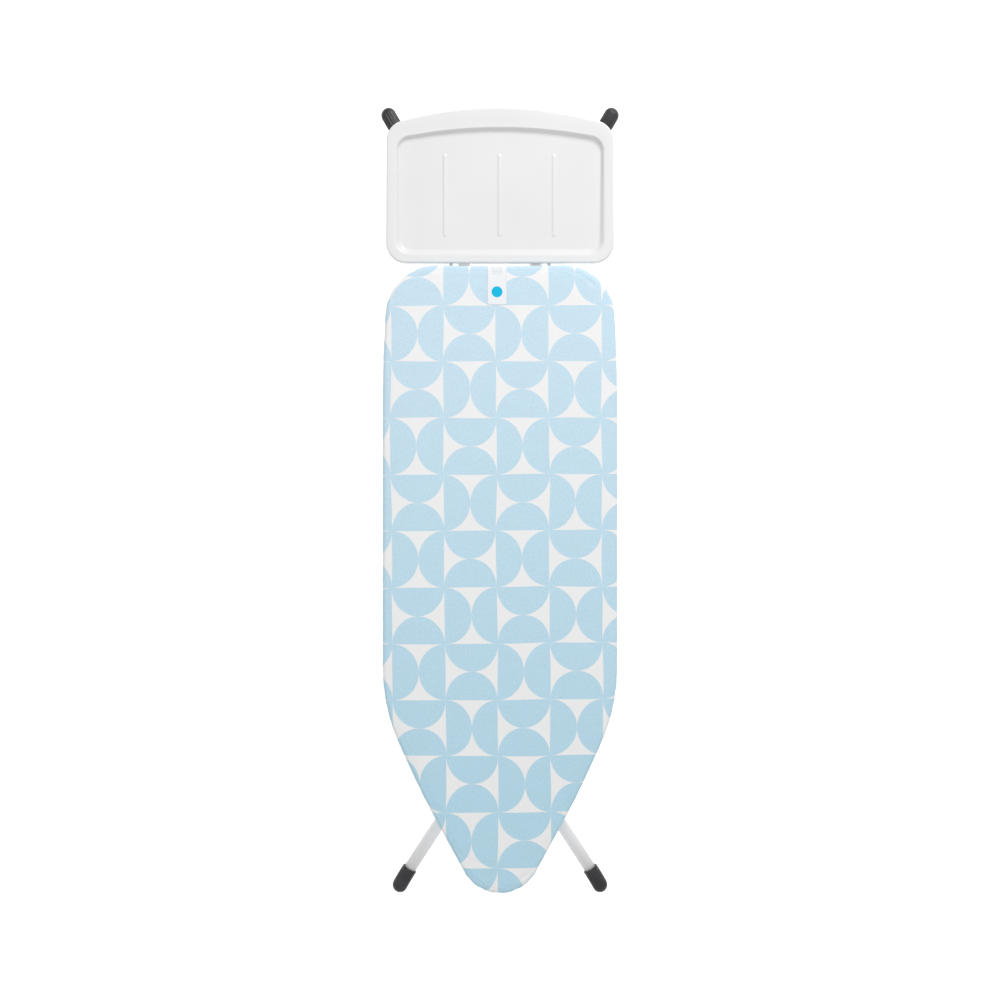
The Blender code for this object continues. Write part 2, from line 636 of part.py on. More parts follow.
def steam_tray():
    """Pressed sheet: a floor, a slope up to the rim, and a skirt that turns down."""
    bm = bmesh.new()
    sheet, rim = TRAY_SHEET, TRAY_RIM

    def inner(distance, z):
        """A ring inside the rim, which is wider at the far edge."""

        def depth(p):
            return distance + FAR_RIM * min(1.0, max(0.0, (p.y - FAR_RIM_Y) / FAR_RIM_BLEND))

        return at(inset(TRAY_OUTLINE, depth), z)

    def outer(distance, z):
        return at(inset(TRAY_OUTLINE, distance), z)

    top = [outer(0.0, TRAY_SKIRT_Z), outer(0.0, TRAY_RIM_Z - TRAY_EDGE), outer(TRAY_EDGE, TRAY_RIM_Z)]
    top += [inner(rim, TRAY_RIM_Z), inner(rim + TRAY_SLOPE, TRAY_FLOOR_Z)]
    under = [inner(rim + TRAY_SLOPE + GAP, TRAY_FLOOR_Z - sheet), inner(rim - sheet, TRAY_RIM_Z - sheet)]
    under += [outer(TRAY_EDGE + 0.001, TRAY_RIM_Z - sheet), outer(sheet, TRAY_RIM_Z - TRAY_EDGE - 0.001)]
    under += [outer(sheet, TRAY_SKIRT_Z)]
    top = [[bm.verts.new(p) for p in ring] for ring in top]
    under = [[bm.verts.new(p) for p in ring] for ring in under]
    count = len(TRAY_OUTLINE)
    for a, b in [*zip(top, top[1:]), *zip(under, under[1:]), (under[-1], top[0])]:
        for i in range(count):
            bm.faces.new((a[i], a[(i + 1) % count], b[(i + 1) % count], b[i]))
    bm.faces.new(top[-1])
    bm.faces.new(under[0][::-1])
    tray = add("steam_tray", bm, "white_paint")
    bm = bmesh.new()
    for x in RIB_X:
        low = (x - RIB_HALF, RIB_Y - RIB_LENGTH / 2, TRAY_FLOOR_Z - sheet / 2)
        box(bm, low, (x + RIB_HALF, RIB_Y + RIB_LENGTH / 2, TRAY_FLOOR_Z + RIB_RISE))
    join_up(tray, bm, "tray_ribs")


def wire_path():
    """U of wire: up one side, across under the tray's far half, and back."""
    points = [Vector((-WIRE_X, WIRE_Y[0]))]
    for sign in (-1, 1):
        for k in range(5):
            turn = math.pi / 2 * (k / 4 if sign < 0 else 1 - k / 4)
            out = Vector((math.cos(turn) - 1, math.sin(turn) - 1)) * WIRE_BEND
            points.append(Vector((sign * (WIRE_X + out.x), WIRE_Y[1] + out.y)))
    return points + [Vector((WIRE_X, WIRE_Y[0]))]


def tray_fittings():
    """Wire that carries the tray, with its stops, its sleeves on the board and its clips."""
    bm = bmesh.new()
    points, rings = wire_path(), []
    up = Vector((0, 0, 1))
    for i, p in enumerate(points):
        tangent = (points[min(i + 1, len(points) - 1)] - points[max(i - 1, 0)]).normalized()
        side = Vector((tangent.y, -tangent.x, 0.0))
        angles = [2 * math.pi * (k + 0.5) / 12 for k in range(12)]
        middle = Vector((p.x, p.y, WIRE_Z))
        rings.append([middle + (side * math.cos(a) + up * math.sin(a)) * WIRE_RADIUS for a in angles])
    loft(bm, rings)
    add("tray_support_wire", bm, "zinc")

    def stop(bm, sign):
        turn = Matrix.Rotation(-math.pi / 2, 4, "X")
        inner, outer = STOP_RADII
        steps = [(inner, 0.0), (outer, 0.0), (outer, STOP_LENGTH), (inner, STOP_LENGTH)]
        turned(bm, steps, Matrix.Translation((sign * WIRE_X, STOP_Y, WIRE_Z)) @ turn, 14, loop=True)

    sided("tray_stop", stop, "charcoal_plastic")
    clip_top = TRAY_FLOOR_Z - TRAY_SHEET - GAP
    wire_block("tray_sleeve", SLEEVE_Y, SLEEVE_HALF, (SLEEVE_LOW, STRIP_Z[0] - GAP))
    wire_block("tray_clip", CLIP_Y, CLIP_HALF, (CLIP_LOW, clip_top))


def wire_block(name, span, half, heights):
    """A bored block round each side of the wire."""
    for side, sign in (("left", -1), ("right", 1)):
        x = sign * WIRE_X
        bm = bmesh.new()
        box(bm, (x - half, span[0], heights[0]), (x + half, span[1], heights[1]))
        block = add(f"{name}_{side}", bm, "charcoal_plastic")
        bm = bmesh.new()
        bore_y(bm, x, span[0] - 0.01, span[1] + 0.01, WIRE_RADIUS + GAP)
        cut(block, bm, f"{name}_bore_{side}")


def bore_y(bm, x, y0, y1, radius):
    place = Matrix.Translation((x, y0, WIRE_Z)) @ Matrix.Rotation(-math.pi / 2, 4, "X")
    turned(bm, [(radius, 0.0), (radius, y1 - y0)], place, 14)


def brackets():
    for side, sign in (("left", -1), ("right", 1)):
        bm = bmesh.new()
        hinge_bracket(bm, sign)
        bracket = add("hinge_bracket_" + side, bm, "white_paint")
        bm = bmesh.new()
        rod_x(bm, *sorted((sign * 0.08, sign * 0.1)), ROD_RADIUS + HOLE_PLAY, HINGE_Y, PIVOT_Z)
        cut(bracket, bm, "bracket_bore_" + side)


board_frame()
brackets()
guide_rails()
height_rack()
lock_parts()
soft_parts()
outer_legs()
inner_legs()
glides()
latch()
transport_hook()
steam_tray()
tray_fittings()
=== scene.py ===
"""The looks of the folding ironing board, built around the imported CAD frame."""

import json
import math

import bmesh
import bpy
from mathutils import Matrix, Vector
from mathutils.bvhtree import BVHTree


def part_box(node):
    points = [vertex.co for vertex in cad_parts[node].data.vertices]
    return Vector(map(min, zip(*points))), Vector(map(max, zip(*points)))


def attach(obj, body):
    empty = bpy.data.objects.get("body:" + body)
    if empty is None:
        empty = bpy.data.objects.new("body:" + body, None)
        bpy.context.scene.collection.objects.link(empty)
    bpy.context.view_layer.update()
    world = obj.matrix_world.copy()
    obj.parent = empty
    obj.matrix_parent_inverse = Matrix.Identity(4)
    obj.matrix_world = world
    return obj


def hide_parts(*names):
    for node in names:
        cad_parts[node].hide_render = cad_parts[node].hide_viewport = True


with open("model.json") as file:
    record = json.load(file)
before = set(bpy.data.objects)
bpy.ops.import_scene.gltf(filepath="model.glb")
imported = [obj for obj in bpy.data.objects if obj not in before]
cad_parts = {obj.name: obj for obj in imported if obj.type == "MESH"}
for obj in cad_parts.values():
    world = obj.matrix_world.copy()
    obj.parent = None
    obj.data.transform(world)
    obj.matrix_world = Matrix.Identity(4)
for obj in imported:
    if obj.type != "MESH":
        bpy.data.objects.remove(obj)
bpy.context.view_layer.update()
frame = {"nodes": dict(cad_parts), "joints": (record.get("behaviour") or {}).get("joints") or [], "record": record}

JOINTS = {joint["name"]: joint for joint in frame["joints"]}
HINGE = Vector(JOINTS["leg_fold"]["pos_m"])
CROSS = Vector(JOINTS["leg_cross"]["pos_m"])
SLIDE = Vector(JOINTS["glide_turn"]["pos_m"])

# Board outline corners: x, y and the radius that rounds each one.
BOARD_CORNERS = (
    (0.0, 0.4685, 2.0),
    (0.2234, 0.4725, 0.104),
    (0.2353, 0.2857, 2.7),
    (0.2351, -0.4173, 0.375),
    (0.1536, -0.5961, 1.346),
    (0.0, -0.8767, 0.0817),
)
SPINE_Y = (-0.715, 0.385)  # the ends of the line that the top's rings close on
COVER_LOW, COVER_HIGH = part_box("cover")
COVER_TOP, HEM_Z = COVER_HIGH.z, COVER_LOW.z
ROLL_TOP = COVER_TOP - 0.0009  # where the roll ends, below the box's top to leave room for the crown
EDGE_ROLL = 0.0090  # the radius of the roll from the top into the side
CLOTH_THICKNESS, CLOTH_RISE = 0.0009, 0.0011  # the most that the settled cloth may move from where it is laid
CROWN, CROWN_REACH = 0.0009, 0.055
RADIAL_PUCKER, RADIAL_REACH = 0.00022, 0.07
TOP_RINGS, ROLL_STEPS = 30, 7
HEM_REACH = (0.020, 0.025)  # at the wide end, and what is added everywhere else
PAD_INSET, CASING_RADIUS, LABEL_ROLL = 0.0022, 0.0017, 0.008

# Printed pattern.
TILE = (0.1052, 0.1126)
TILE_ORIGIN = (-0.0066, -0.0610)
TILE_SKEW, TILE_SKEW_Y = 0.005, -0.06  # the cloth was cut a little off the grain
BLUE, PALE_BLUE = (0.545, 0.765, 0.895), (0.66, 0.845, 0.95)
OFF_WHITE = (0.86, 0.862, 0.864)
PAINT = (0.999, 0.999, 1.002)
MELANGE = ((0.90, 0.975, 0.986), (1.11, 1.027, 1.015))
BLUE_SHADE_GRADE = ((0.832, 0.922, 0.944), (1.016, 0.984, 0.983))  # painted shade: the blue darkens towards the nose and pales to the wide end
# where the painted shade on the blue runs along the board
SHADE_GRADE_Y = (-0.6, 0.3)
LABEL_WHITE, LABEL_GREY, LABEL_BLUE = (0.80, 0.82, 0.85), (0.42, 0.43, 0.45), (0.004, 0.46, 0.72)
DISC_RADIUS, DISC_RIGHT, DISC_UP = 0.011, 0.0015, 0.0262

# Legs.
LEG_RADIUS, CAP_RADIUS = 0.0125, 0.0155
SPLAY, BEND_RADIUS = math.radians(33.0), 0.22
LEGS = {"outer": (0.0738, 0.2308, 1), "inner": (0.0420, 0.2074, -1)}
TUBE_TAIL = 0.014
BOOT_FLUTES, FLUTE_DEPTH, BOOT_LEAN = 14, 0.0013, 0.0018
FOLD_ANGLE = math.atan2(HINGE.z - CROSS.z, CROSS.y - HINGE.y)
FOOT_Y = 0.7925
LEG_LENGTH = (FOOT_Y - HINGE.y) / math.cos(FOLD_ANGLE)

# Tray.
TRAY_CORNERS = ((0.0, 0.8142, 0.754), (0.2277, 0.7541, 0.040), (0.2291, 0.4762, 0.040))
WELL_CORNERS = ((0.0, 0.7651, 1.0), (0.2082, 0.7271, 0.029), (0.2096, 0.4935, 0.029))
TRAY_FLOOR = next(m["pos_m"][2] for m in frame["record"]["mounts"] if m["name"] == "tray_floor")
RIB_X, RIB_Y, RIB_HALF_LENGTH = (-0.111, -0.001, 0.1085), 0.613, 0.0835
RIB_HALF_WIDTH, RIB_RISE, SHEET = 0.0050, 0.0017, 0.0014

# Light: name, place, diameter in metres and watts of each lamp.
LAMPS = (
    ("key", (1.2, 2.7, 2.0), 1.4, 63.0),
    ("top", (0.0, -0.2, 4.3), 2.5, 32.0),
    ("fill", (-2.2, 0.4, 2.4), 2.4, 10.0),
    ("low", (0.2, -2.8, 1.2), 2.0, 5.0),
)
WORLD_STRENGTH, FLOOR_GLOW, FLOOR_HALF = 0.50, 0.42, 12.0
CAMERA_HEIGHT, LENS = 3.2, 57.6


# Node materials.


class Shader:
    """A short way to add and link nodes of one material."""

    def __init__(self, name, roughness=0.5, metallic=0.0):
        self.mat = bpy.data.materials.new(name)
        self.mat.use_nodes = True
        self.tree = self.mat.node_tree
        self.out = self.tree.nodes["Principled BSDF"]
        self.out.inputs["Roughness"].default_value = roughness
        self.out.inputs["Metallic"].default_value = metallic
        self.place = None

    def node(self, kind, settings=None, **inputs):
        made = self.tree.nodes.new("ShaderNode" + kind)
        for key, value in (settings or {}).items():
            setattr(made, key, value)
        for key, value in inputs.items():
            socket = made.inputs[int(key[1:])] if key[0] == "i" and key[1:].isdigit() else made.inputs[key]
            self.feed(socket, value)
        return made

    def feed(self, socket, value):
        if isinstance(value, bpy.types.NodeSocket):
            self.tree.links.new(value, socket)
        else:
            socket.default_value = value

    def math(self, operation, a, b=0.0):
        return self.node("Math", {"operation": operation}, i0=a, i1=b).outputs[0]

    def coords(self):
        if self.place is None:
            self.place = self.node("TexCoord").outputs["Object"]
        return self.place

    def noise(self, scale, detail=2.0, vector=None, roughness=0.5):
        made = self.node("TexNoise", Scale=scale, Detail=detail, Roughness=roughness)
        self.feed(made.inputs["Vector"], vector or self.coords())
        return made.outputs["Fac"]

    def mix(self, factor, a, b):
        made = self.node("Mix", {"data_type": "RGBA"}, i0=factor)
        self.feed(made.inputs[6], a)
        self.feed(made.inputs[7], b)
        return made.outputs[2]

    def ramp(self, value, low, high, a, b):
        """Maps a value between low and high to a range."""
        made = self.node("MapRange", i0=value, i1=low, i2=high, i3=a, i4=b)
        return made.outputs[0]

    def bump(self, height, distance, strength=1.0):
        made = self.node("Bump", Strength=strength, Distance=distance, Height=height)
        self.feed(self.out.inputs["Normal"], made.outputs[0])

    def set(self, name, value):
        self.feed(self.out.inputs[name], value)


def rgb(*colour):
    return (*colour, 1.0)


def white_paint(name, tone_low, tone_high):
    """Powder coat: faint orange peel, slight tone changes and a thin gloss."""
    s = Shader(name)
    patches = s.ramp(s.noise(7.0), 0.3, 0.7, 0.0, 1.0)
    low, high = (rgb(*(tone * c for c in PAINT)) for tone in (tone_low, tone_high))
    s.set("Base Color", s.mix(patches, low, high))
    s.set("Roughness", s.ramp(s.noise(60.0), 0.3, 0.7, 0.30, 0.40))
    s.set("Coat Weight", 0.15)
    s.bump(s.noise(950.0, 3.0), 0.00012, 0.35)
    return s.mat


def zinc():
    """Plated steel: drawn lines along the piece and cloudy roughness."""
    s = Shader("zinc_plate", metallic=0.92)
    stretch = s.node("Mapping", Vector=s.coords(), Scale=(40.0, 900.0, 900.0)).outputs[0]
    lines = s.noise(1.0, 4.0, stretch)
    s.set("Base Color", s.mix(lines, rgb(0.52, 0.53, 0.55), rgb(0.68, 0.69, 0.70)))
    s.set("Roughness", s.ramp(s.noise(90.0), 0.3, 0.7, 0.26, 0.42))
    s.bump(lines, 0.00005, 0.4)
    return s.mat


def plastic(name, dark, light, grain=1400.0):
    """Moulded plastic with a fine spark-eroded grain and rubbed, paler patches."""
    s = Shader(name)
    s.set("Base Color", s.mix(s.ramp(s.noise(45.0, 4.0), 0.42, 0.68, 0.0, 1.0), rgb(*dark), rgb(*light)))
    s.set("Roughness", s.ramp(s.noise(160.0), 0.3, 0.7, 0.34, 0.46))
    s.bump(s.noise(grain, 2.0), 0.00010, 0.35)
    return s.mat


def foam():
    s = Shader("open_foam", 0.95)
    cells = s.node("TexVoronoi", Scale=650.0, Vector=s.coords()).outputs["Distance"]
    s.set("Base Color", s.mix(cells, rgb(0.60, 0.59, 0.55), rgb(0.80, 0.79, 0.75)))
    s.bump(cells, 0.0006, 0.8)
    return s.mat


def weave(s, flat, pitch):
    """Plain weave: crossing threads, each one over and under the next."""
    parts = s.node("SeparateXYZ", Vector=flat)
    turns = math.pi / pitch
    warp = s.math("SINE", s.math("MULTIPLY", parts.outputs[0], turns))
    weft = s.math("SINE", s.math("MULTIPLY", parts.outputs[1], turns))
    return s.math("ABSOLUTE", s.math("MULTIPLY", warp, weft))


def printed_cloth():
    """Half discs back to back in a checkerboard of tiles, on melange cotton, with painted shade darkening the blue
    towards the nose.
    """
    s = Shader("printed_cotton", 0.88)
    flat = s.node("Attribute", {"attribute_name": "cloth_flat"}).outputs["Vector"]
    wander = s.node("TexNoise", Scale=4.5, Detail=1.0, Vector=flat).outputs["Color"]
    shift = s.node("VectorMath", {"operation": "SUBTRACT"}, i0=wander, i1=(0.5, 0.5, 0.5)).outputs[0]
    shift = s.node("VectorMath", {"operation": "SCALE"}, i0=shift, Scale=0.012).outputs[0]
    warped = s.node("VectorMath", {"operation": "ADD"}, i0=flat, i1=shift).outputs[0]
    parts = s.node("SeparateXYZ", Vector=warped)
    x, y = parts.outputs[0], parts.outputs[1]
    lean = s.math("MULTIPLY", s.math("SUBTRACT", y, TILE_SKEW_Y), TILE_SKEW)
    turned = (s.math("ADD", x, lean), s.math("SUBTRACT", y, s.math("MULTIPLY", x, TILE_SKEW)))
    cell, local = [], []
    for axis in (0, 1):
        placed = s.math("DIVIDE", s.math("SUBTRACT", turned[axis], TILE_ORIGIN[axis]), TILE[axis])
        cell.append(s.math("FLOOR", placed))
        local.append(s.math("ABSOLUTE", s.math("SUBTRACT", s.math("FRACT", placed), 0.5)))
    odd = s.math("ABSOLUTE", s.math("FLOORED_MODULO", s.math("ADD", *cell), 2.0))

    def half_discs(across, along):
        """Distance from the middle of the tile's edge, where 1 is the half disc's rim."""
        near = s.math("MULTIPLY", s.math("SUBTRACT", 0.5, across), 2.0)
        far = s.math("MULTIPLY", along, 2.0)
        return s.math("SQRT", s.math("ADD", s.math("MULTIPLY", near, near), s.math("MULTIPLY", far, far)))

    upright, lying = half_discs(local[0], local[1]), half_discs(local[1], local[0])
    even_part = s.math("MULTIPLY", lying, s.math("SUBTRACT", 1.0, odd))
    rim = s.math("ADD", s.math("MULTIPLY", upright, odd), even_part)
    fray = s.math("MULTIPLY", s.math("SUBTRACT", s.noise(900.0, 2.0, flat), 0.5), 0.012)
    inside = s.ramp(s.math("ADD", rim, fray), 0.992, 1.008, 1.0, 0.0)

    fleck = s.ramp(s.noise(620.0, 3.0, flat, 0.7), 0.30, 0.70, 0.0, 1.0)
    cloud = s.ramp(s.noise(28.0, 3.0, flat), 0.35, 0.65, 0.0, 1.0)
    deep = tuple(c * 0.86 for c in BLUE)
    blue = s.mix(s.math("MULTIPLY", fleck, 0.8), rgb(*deep), rgb(*PALE_BLUE))
    blue = s.mix(s.math("MULTIPLY", cloud, 0.35), blue, rgb(*BLUE))
    turned_flat = s.node("Mapping", Vector=flat, Rotation=(0.0, 0.0, 0.7), Scale=(1.0, 0.55, 1.0)).outputs[0]
    melange = s.ramp(s.noise(330.0, 2.0, turned_flat), 0.32, 0.68, 0.0, 1.0)
    tone = s.mix(melange, rgb(*MELANGE[0]), rgb(*MELANGE[1]))
    blue = s.node("VectorMath", {"operation": "MULTIPLY"}, i0=blue, i1=tone).outputs[0]
    # Painted shade: the blue is darker towards the nose and paler towards the wide end.
    fade = s.ramp(y, *SHADE_GRADE_Y, 0.0, 1.0)
    painted_shade_tint = s.mix(fade, rgb(*BLUE_SHADE_GRADE[0]), rgb(*BLUE_SHADE_GRADE[1]))
    blue = s.node("VectorMath", {"operation": "MULTIPLY"}, i0=blue, i1=painted_shade_tint).outputs[0]
    white = s.mix(fleck, rgb(*(c * 0.975 for c in OFF_WHITE)), rgb(*OFF_WHITE))
    s.set("Base Color", s.mix(inside, white, blue))
    s.set("Sheen Weight", 0.25)
    threads = s.math("ADD", weave(s, flat, 0.0011), s.math("MULTIPLY", fleck, 0.6))
    s.bump(threads, 0.00022, 0.55)
    return s.mat


def label_satin(box_low, box_high):
    """Satin ribbon with a plain coloured disc and faint rules in place of print."""
    s = Shader("label_ribbon", 0.38)
    parts = s.node("SeparateXYZ", Vector=s.coords())
    x, y = parts.outputs[0], parts.outputs[1]
    middle = (box_low.x + box_high.x) / 2
    dx = s.math("SUBTRACT", x, middle + DISC_RIGHT)
    dy = s.math("SUBTRACT", y, box_low.y + DISC_UP)
    away = s.math("SQRT", s.math("ADD", s.math("MULTIPLY", dx, dx), s.math("MULTIPLY", dy, dy)))
    disc = s.ramp(away, DISC_RADIUS - 0.0002, DISC_RADIUS + 0.0002, 1.0, 0.0)
    rules = s.ramp(s.math("FRACT", s.math("MULTIPLY", y, 330.0)), 0.40, 0.55, 0.0, 1.0)
    near = s.ramp(s.math("ABSOLUTE", s.math("SUBTRACT", y, box_high.y - 0.003)), 0.0080, 0.0085, 1.0, 0.0)
    wide = s.ramp(s.math("ABSOLUTE", dx), 0.0105, 0.0115, 1.0, 0.0)
    dots = s.ramp(s.noise(700.0), 0.45, 0.55, 0.0, 1.0)
    mark = s.math("MULTIPLY", s.math("MULTIPLY", rules, near), s.math("MULTIPLY", wide, dots))
    ribbon = s.mix(s.math("MULTIPLY", mark, 0.55), rgb(*LABEL_WHITE), rgb(*LABEL_GREY))
    s.set("Base Color", s.mix(disc, ribbon, rgb(*LABEL_BLUE)))
    s.set("Specular IOR Level", 0.15)
    s.bump(weave(s, s.coords(), 0.0005), 0.00008, 0.4)
    return s.mat


MATS = {
    "white_paint": white_paint("white_powder_coat", 0.74, 0.765),
    "zinc": zinc(),
    "charcoal_plastic": plastic("charcoal_plastic", (0.020, 0.020, 0.022), (0.032, 0.032, 0.035)),
    "grey_plastic": plastic("grey_plastic", (0.36, 0.37, 0.38), (0.46, 0.47, 0.48)),
    "foam": foam(),
    "cloth": printed_cloth(),
    "label_satin": label_satin(*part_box("size_label")),
}
# Painted light: the tubes get a brighter copy of the tray's powder coat, standing in for the light that the
# board's shade takes from them. It replaces the slot's own material on them.
LIT_TUBE_PAINT = white_paint("brightened_tube_coat", 0.885, 0.905)


# Mesh tools.


def add(name, bm, slot, body, *nodes):
    """Makes a piece from a bmesh, rides it on its body and hides the nodes that it stands for."""
    bmesh.ops.remove_doubles(bm, verts=bm.verts, dist=1e-6)
    bmesh.ops.recalc_face_normals(bm, faces=bm.faces)
    mesh = bpy.data.meshes.new(name)
    bm.to_mesh(mesh)
    bm.free()
    mesh.shade_smooth()
    mesh.materials.append(MATS[slot])
    obj = bpy.data.objects.new(name, mesh)
    bpy.context.scene.collection.objects.link(obj)
    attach(obj, body)
    if nodes:
        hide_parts(*nodes)
    return obj


def loft(bm, rings, ends="", loop=False):
    """Skins rings of equal length. ends names the ends to cap: a for the first, b for the last."""
    made = [[bm.verts.new(p) for p in ring] for ring in rings]
    pairs = list(zip(made, made[1:])) + ([(made[-1], made[0])] if loop else [])
    for a, b in pairs:
        for i in range(len(a)):
            j = (i + 1) % len(a)
            bm.faces.new((a[i], a[j], b[j], b[i]))
    if "a" in ends:
        bm.faces.new(made[0][::-1])
    if "b" in ends:
        bm.faces.new(made[-1])
    return made


def rounded(corners, step=math.radians(3)):
    """A closed outline whose corners are rounded by arcs."""
    points = []
    for i, (x, y, radius) in enumerate(corners):
        here = Vector((x, y))
        back = (Vector(corners[i - 1][:2]) - here).normalized()
        ahead = (Vector(corners[(i + 1) % len(corners)][:2]) - here).normalized()
        half = back.angle(ahead) / 2
        centre = here + (back + ahead).normalized() * radius / math.sin(half)
        start = here + back * radius / math.tan(half) - centre
        end = here + ahead * radius / math.tan(half) - centre
        sweep = -start.angle_signed(end)
        count = max(2, math.ceil(abs(sweep) / step))
        points += [centre + Matrix.Rotation(sweep * k / count, 2) @ start for k in range(count + 1)]
    return points


def both_sides(corners, with_end=True):
    """Adds the left half to an outline given from its far middle round the right half."""
    inner = corners[1:-1] if with_end else corners[1:]
    return [*corners, *[(-x, y, r) for x, y, r in reversed(inner)]]


def even(points, pitch=None, count=None):
    """Evenly spaced points round an outline that is the same left and right, first down its right side."""
    half = []
    for a, b in zip(points, points[1:] + points[:1]):
        if a.x * b.x < 0:
            half.append(a.lerp(b, a.x / (a.x - b.x)))
        if b.x > 1e-6:
            half.append(b)
    start = max(range(len(half)), key=lambda k: half[k].y if abs(half[k].x) < 1e-6 else -1e9)
    half = half[start:] + half[:start]
    gone = [0.0]
    for a, b in zip(half, half[1:]):
        gone.append(gone[-1] + (b - a).length)
    count, i, right = count or round(gone[-1] / pitch), 0, []
    for k in range(count + 1):
        target = gone[-1] * k / count
        while i < len(half) - 2 and gone[i + 1] < target:
            i += 1
        share = (target - gone[i]) / max(gone[i + 1] - gone[i], 1e-9)
        right.append(half[i].lerp(half[i + 1], share))
    right[0].x = right[-1].x = 0.0
    return right + [Vector((-p.x, p.y)) for p in reversed(right[1:-1])]


def inset(points, distance):
    """Moves a clockwise outline inwards. distance is a number or a function of a point."""
    moved = []
    for i, p in enumerate(points):
        tangent = (points[(i + 1) % len(points)] - points[i - 1]).normalized()
        amount = distance(p) if callable(distance) else distance
        moved.append(p + Vector((tangent.y, -tangent.x)) * amount)
    return moved


def at(points, z):
    return [Vector((p.x, p.y, z)) for p in points]


def spine(p, ends=SPINE_Y):
    return Vector((0.0, min(ends[1], max(ends[0], p.y))))


def modifier(obj, kind, **settings):
    made = obj.modifiers.new(kind.title(), kind)
    for key, value in settings.items():
        setattr(made, key, value)
    return made


def smoothstep(t):
    t = min(1.0, max(0.0, t))
    return t * t * (3 - 2 * t)


OUTLINE = even(rounded(both_sides(BOARD_CORNERS)), 0.008)
TRAY_OUTLINE = even(rounded(both_sides(TRAY_CORNERS, False)), 0.005)
WELL_OUTLINE = even(rounded(both_sides(WELL_CORNERS, False)), count=len(TRAY_OUTLINE) // 2)


# Camera and light.


def studio():
    """Straight down on the ironing surface, with a large soft key from the tray's right."""
    camera = bpy.data.objects.new("camera", bpy.data.cameras.new("camera"))
    camera.data.sensor_width, camera.data.lens = 36.0, LENS
    camera.data.clip_end = 30.0
    camera.location = (0.0, 0.0, COVER_TOP + CAMERA_HEIGHT)
    bpy.context.scene.collection.objects.link(camera)
    bpy.context.scene.camera = camera
    for name, place, size, power in LAMPS:
        data = bpy.data.lights.new(name, "AREA")
        data.shape, data.size, data.energy = "DISK", size, power
        lamp = bpy.data.objects.new(name, data)
        lamp.location = place
        lamp.rotation_euler = (-Vector(place)).to_track_quat("-Z", "Y").to_euler()
        bpy.context.scene.collection.objects.link(lamp)
    world = bpy.data.worlds.new("studio")
    world.use_nodes = True
    background = world.node_tree.nodes["Background"]
    background.inputs["Color"].default_value = rgb(1.0, 1.0, 1.0)
    background.inputs["Strength"].default_value = WORLD_STRENGTH
    bpy.context.scene.world = world
    bpy.context.scene.view_settings.view_transform = "Standard"

    # The floor is where the unfolded board's feet stand.
    lowest = math.radians(JOINTS["leg_fold"]["range_deg"][1]) + FOLD_ANGLE
    floor_z = HINGE.z - LEG_LENGTH * math.sin(lowest) - CAP_RADIUS - 0.001
    bm = bmesh.new()
    bmesh.ops.create_grid(bm, x_segments=2, y_segments=2, size=FLOOR_HALF)
    mesh = bpy.data.meshes.new("floor")
    bm.to_mesh(mesh)
    bm.free()
    s = Shader("pale_floor", 0.9)
    s.set("Base Color", s.mix(s.noise(3.0), rgb(0.90, 0.90, 0.90), rgb(0.92, 0.92, 0.92)))
    s.set("Emission Color", rgb(1.0, 1.0, 1.0))
    s.set("Emission Strength", FLOOR_GLOW)
    mesh.materials.append(s.mat)
    floor = bpy.data.objects.new("floor", mesh)
    floor.location.z = floor_z
    bpy.context.scene.collection.objects.link(floor)


# Fabric.


def hem_depth(p):
    """How far the hem reaches inwards: least at the wide end, where the wires pass."""
    least, added = HEM_REACH
    return least + added * min(1.0, max(0.0, (0.462 - p.y) / 0.10))


def cover_profile():
    """(inset, height, distance along the cloth past the top's edge) from the hem's edge to the top."""
    low, soft = HEM_Z + 0.0008, EDGE_ROLL
    wall_top, turned = ROLL_TOP - soft, soft * math.pi / 2
    wall = wall_top - low
    down = turned + wall
    made = [(None, low, down + 0.0345), (0.012, low - 0.0003, down + 0.0125)]
    made += [(0.004, low, down + 0.0045), (0.0012, low + 0.0012, down + 0.0005)]
    made += [(0.0, wall_top - wall * k / 6, turned + wall * k / 6) for k in range(4, 0, -1)]
    for k in range(ROLL_STEPS + 1):
        angle = math.pi / 2 * k / ROLL_STEPS
        made.append((soft * (1 - math.cos(angle)), wall_top + soft * math.sin(angle), turned - soft * angle))
    return made


def gather(s, along, bend):
    """Small puckers that the hem's elastic draws into the side, stronger round the bends."""
    coarse = math.sin(s * 205.0 + 1.7 * math.sin(s * 23.0))
    fine = math.sin(s * 377.0 + 2.0 * math.sin(s * 31.0))
    return (coarse * 0.6 + fine * 0.4) * along * (0.00035 + 0.0011 * bend)


